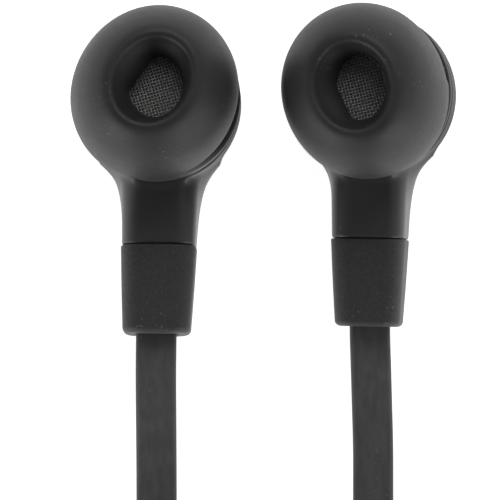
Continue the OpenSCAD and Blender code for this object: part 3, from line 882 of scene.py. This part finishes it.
def satin(name, dark=0.030, light=0.038, r0=0.30, r1=0.38, grain=0.05, height=0.0022, dust=True, matt_from=None):
    m = Mat(name, Specular_IOR_Level=0.45, Sheen_Weight=0.08, Sheen_Roughness=0.25)
    big = m.noise(6.0, 3, 0.55)
    base = m.mix(m.span(big, 0.35, 0.65, 0, 1), grey(dark), grey(light, 1.03))
    rough = m.math("ADD", m.span(big, 0.35, 0.65, r0, r1), m.span(m.noise(0.4, 2), 0.3, 0.7, -0.02, 0.03))
    if matt_from is not None:
        # the round part of the housing is duller than the stem, and its colour is painted darker there as painted shade
        split = m.node("ShaderNodeSeparateXYZ")
        m.link(m.coord, split.inputs[0])
        far = m.span(split.outputs["Y"], matt_from * MM, (matt_from + 2.2) * MM, 0, 1)
        # painted shade: the base colour falls to 0.45 of its tone over the round part
        base = m.mix(far, base, grey(dark * 0.45))
        rough = m.math("ADD", rough, m.math("MULTIPLY", far, 0.22))
        edge = m.node("ShaderNodeLayerWeight")
        edge.inputs["Blend"].default_value = 0.5
        shine = m.span(edge.outputs["Facing"], 0.45, 0.95, 0.45, 1.0)
        m.link(m.math("MULTIPLY", shine, m.math("SUBTRACT", 1.0, m.math("MULTIPLY", far, 0.72))), m.bsdf.inputs["Specular IOR Level"])
    m.colour(dusty(m, base, 1.1) if dust else base)
    m.rough(rough)
    m.bump(m.noise(grain, 1.5, 0.6), height)
    m.bump(m.noise(3.0, 1, 0.5), 0.006)
    return m.mat


def rubber_grain(name, dark=0.030, light=0.046, grain=0.16, height=0.010):
    """Finely grained rubber, as a spark-eroded mould leaves it."""
    m = Mat(name, Specular_IOR_Level=0.38, Sheen_Weight=0.12, Sheen_Roughness=0.3)
    big = m.noise(5.0, 2, 0.5)
    grains = m.noise(grain, 2.5, 0.62)
    base = m.mix(m.span(grains, 0.35, 0.68, 0, 1), grey(dark), grey(light, 1.03))
    m.colour(dusty(m, base, 1.3))
    m.rough(m.math("ADD", m.span(grains, 0.3, 0.7, 0.62, 0.50), m.span(big, 0.35, 0.65, -0.03, 0.03)))
    m.bump(grains, height)
    return m.mat


def cable_jacket():
    m = Mat("cable_jacket", Specular_IOR_Level=0.36)
    long = m.vector(stretch=(1, 0.22, 1))
    streak, fine = m.noise(0.5, 3, 0.55, long), m.noise(0.07, 2, 0.6)
    base = m.mix(m.span(streak, 0.35, 0.65, 0, 1), grey(0.060), grey(0.078, 1.03))
    m.colour(dusty(m, base, 1.3))
    m.rough(m.math("ADD", m.span(streak, 0.35, 0.65, 0.54, 0.62), m.span(fine, 0.3, 0.7, -0.03, 0.03)))
    m.bump(fine, 0.003)
    m.bump(streak, 0.004)
    return m.mat


def woven_wire():
    m = Mat("woven_wire", Metallic=0.3, Specular_IOR_Level=0.5)
    n = m.noise(0.2, 2, 0.6)
    m.colour(m.mix(m.span(n, 0.35, 0.65, 0, 1), grey(0.19), grey(0.32, 0.98)))
    m.rough(m.span(n, 0.3, 0.7, 0.42, 0.58))
    m.bump(m.noise(0.03, 1, 0.5), 0.001)
    return m.mat


def strap_weave():
    m = Mat("strap_weave", Specular_IOR_Level=0.3, Sheen_Weight=0.2, Sheen_Roughness=0.5)
    a, b = m.wave(0.42, direction="X"), m.wave(0.42, direction="Y")
    c = m.wave(0.42, direction="Z")
    ribs = m.math("MAXIMUM", m.math("MULTIPLY", a, b), m.math("MULTIPLY", b, c))
    fuzz = m.noise(0.06, 3, 0.7)
    m.colour(m.mix(ribs, grey(0.008), grey(0.022)))
    m.rough(m.span(fuzz, 0.3, 0.7, 0.75, 0.95))
    m.bump(ribs, 0.06)
    m.bump(fuzz, 0.012)
    return m.mat


def metal(name, a, b, r0, r1, scratch=0.25):
    m = Mat(name, Metallic=1.0)
    long = m.vector(stretch=(1, 0.08, 1))
    lines = m.noise(scratch, 3, 0.6, long)
    m.colour(m.mix(m.span(m.noise(1.5, 3), 0.35, 0.65, 0, 1), a, b))
    m.rough(m.span(lines, 0.3, 0.7, r0, r1))
    m.bump(lines, 0.0012)
    return m.mat


def plain_grain(name, a, b, r0, r1, size=0.3, height=0.004, **kw):
    m = Mat(name, **kw)
    n = m.noise(size, 3, 0.6)
    m.colour(m.mix(m.span(n, 0.35, 0.65, 0, 1), a, b))
    m.rough(m.span(m.noise(size * 2, 2), 0.3, 0.7, r0, r1))
    m.bump(n, height)
    return m.mat


def winding():
    m = Mat("winding", Metallic=0.85)
    turns = m.wave(0.12, direction="Z")
    m.colour(m.mix(turns, (0.35, 0.12, 0.04), (0.75, 0.34, 0.13)))
    m.rough(m.span(m.noise(0.2, 2), 0.3, 0.7, 0.28, 0.4))
    m.bump(turns, 0.02)
    return m.mat


M = {
    "silicone": silicone(),
    # the shell's colour is painted darker past Y = -0.4 mm, as painted shade
    "shell": satin("shell_plastic", 0.038, 0.048, 0.35, 0.43, matt_from=-0.4),
    "cap": satin("cap_plastic", 0.014, 0.019, 0.38, 0.46),
    "sleeve": rubber_grain("sleeve_rubber"),
    "cable": cable_jacket(),
    "mesh": woven_wire(),
    "tie": strap_weave(),
    "splitter": satin("splitter_plastic", 0.013, 0.018, 0.36, 0.44),
    "plug_rubber": rubber_grain("plug_rubber", 0.014, 0.020, 0.12, 0.006),
    "nickel": metal("nickel_plate", (0.52, 0.52, 0.53), (0.62, 0.61, 0.59), 0.20, 0.32),
    "steel": metal("plated_steel", (0.45, 0.45, 0.47), (0.58, 0.58, 0.58), 0.25, 0.4),
    "brass": metal("crimp_brass", (0.55, 0.40, 0.16), (0.68, 0.52, 0.24), 0.25, 0.4),
    "magnet": plain_grain("sintered_magnet", (0.16, 0.16, 0.17), (0.26, 0.26, 0.27), 0.35, 0.5, 0.12, 0.006, Metallic=0.9),
    "felt": plain_grain("damping_felt", (0.20, 0.18, 0.14), (0.34, 0.31, 0.25), 0.85, 0.98, 0.08, 0.03),
    "gasket": plain_grain("gasket_rubber", grey(0.011), grey(0.019), 0.5, 0.65, 0.2, 0.006),
    "film": plain_grain("diaphragm_film", (0.45, 0.42, 0.27), (0.6, 0.57, 0.4), 0.22, 0.34, 0.8, 0.004),
    "board": plain_grain("board_laminate", (0.015, 0.13, 0.045), (0.03, 0.2, 0.07), 0.35, 0.5, 0.4, 0.004),
    "filter": plain_grain("filter_paper", (0.68, 0.68, 0.63), (0.82, 0.81, 0.77), 0.85, 0.97, 0.06, 0.015),
    "anchor": plain_grain("anchor_mould", grey(0.022), grey(0.032), 0.45, 0.6, 0.25, 0.005),
    "wire": plain_grain("wire_insulation", (0.38, 0.03, 0.02), (0.52, 0.06, 0.035), 0.35, 0.5, 0.5, 0.004),
    "core": plain_grain("inner_mould", (0.62, 0.60, 0.54), (0.74, 0.72, 0.66), 0.45, 0.6, 0.5, 0.006),
    "insulator": plain_grain("insulator_ring", grey(0.008), grey(0.014), 0.2, 0.3, 0.3, 0.002),
    "copper": winding(),
}


def dress(ob, slot):
    ob.data.materials.clear()
    ob.data.materials.append(M[slot])


for ob in (left_cable, right_cable, trunk_cable):
    dress(ob, "cable")
for side in ("left", "right"):
    for key, slot in (("tip", "silicone"), ("rear", "shell"), ("front", "shell"), ("cap", "cap"), ("net", "mesh"), ("sleeve", "sleeve")):
        dress(pieces[side][key], slot)
dress(tie, "tie")
for name, slot in (("splitter_top_half", "splitter"), ("splitter_bottom_half", "splitter"), ("plug_relief", "plug_rubber"),
                   ("plug_grip", "plug_rubber"), ("jack_sleeve", "nickel"), ("jack_ring", "nickel"), ("jack_tip", "nickel")):
    dress(pieces[name], slot)
INNER = {
    "nozzle_damper": "felt", "driver_gasket": "gasket", "driver_basket": "steel", "diaphragm": "film", "voice_coil": "copper",
    "top_plate": "steel", "magnet": "magnet", "yoke": "steel", "terminal_board": "board", "vent_filter": "filter",
    "cable_anchor": "anchor", "wire_pair": "wire", "splitter_splice": "brass", "plug_core": "core", "plug_insulator": "insulator",
}
for node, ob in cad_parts.items():
    slot = INNER.get(node.replace("left_", "").replace("right_", ""))
    if slot:
        for s in ob.material_slots:
            s.material = M[slot]

# ------------------------------------------------------------------ floor and light
floor_me = bpy.data.meshes.new("floor")
F = 3.0
floor_me.from_pydata([(-F, -F, -0.00005), (F, -F, -0.00005), (F, F, -0.00005), (-F, F, -0.00005)], [], [(0, 1, 2, 3)])
floor = bpy.data.objects.new("floor", floor_me)
scene.collection.objects.link(floor)
fm = bpy.data.materials.new("pale_floor")
fm.use_nodes = True
fb = fm.node_tree.nodes["Principled BSDF"]
fb.inputs["Base Color"].default_value = (0.85, 0.85, 0.85, 1)
fb.inputs["Roughness"].default_value = 0.9
fb.inputs["Specular IOR Level"].default_value = 0.1
fb.inputs["Emission Color"].default_value = (1, 1, 1, 1)
fb.inputs["Emission Strength"].default_value = 0.90
floor_me.materials.append(fm)

# a light tent: bright walls all round, dim overhead
world = bpy.data.worlds.new("studio")
scene.world = world
world.use_nodes = True
wn, wl = world.node_tree.nodes, world.node_tree.links
wn["Background"].inputs["Color"].default_value = (1, 1, 1, 1)
sky, split, ramp = wn.new("ShaderNodeTexCoord"), wn.new("ShaderNodeSeparateXYZ"), wn.new("ShaderNodeMapRange")
wl.new(sky.outputs["Generated"], split.inputs[0])
wl.new(split.outputs["Z"], ramp.inputs["Value"])
ramp.interpolation_type = "SMOOTHSTEP"
ramp.inputs["From Min"].default_value, ramp.inputs["From Max"].default_value = 0.0, 0.5
ramp.inputs["To Min"].default_value, ramp.inputs["To Max"].default_value = 0.66, 0.13
wl.new(ramp.outputs["Result"], wn["Background"].inputs["Strength"])


def softbox(name, where, aim, size, radiance):
    data = bpy.data.lights.new(name, "AREA")
    data.shape = "RECTANGLE"
    data.size, data.size_y = size
    data.energy = radiance * math.pi * size[0] * size[1]
    ob = bpy.data.objects.new(name, data)
    scene.collection.objects.link(ob)
    ob.location = where
    d = Vector(aim) - Vector(where)
    ob.rotation_euler = d.to_track_quat("-Z", "Y").to_euler()
    return ob


softbox("top_box", (0.09, 0.44, 0.52), (0, 0, 0), (0.6, 0.3), 3.2)
softbox("front_left_box", (-0.50, -0.52, 0.15), (0, 0, 0), (0.5, 0.2), 5.4)
softbox("front_right_box", (0.50, -0.52, 0.15), (0, 0, 0), (0.5, 0.2), 4.6)
softbox("left_box", (-0.6, 0.05, 0.45), (0, 0, 0), (0.3, 0.7), 0.35)
softbox("right_box", (0.6, 0.05, 0.45), (0, 0, 0), (0.3, 0.7), 0.35)
scene.view_settings.view_transform = "Standard"
scene.view_settings.look = "None"
scene.view_settings.exposure = 0
scene.view_settings.gamma = 1
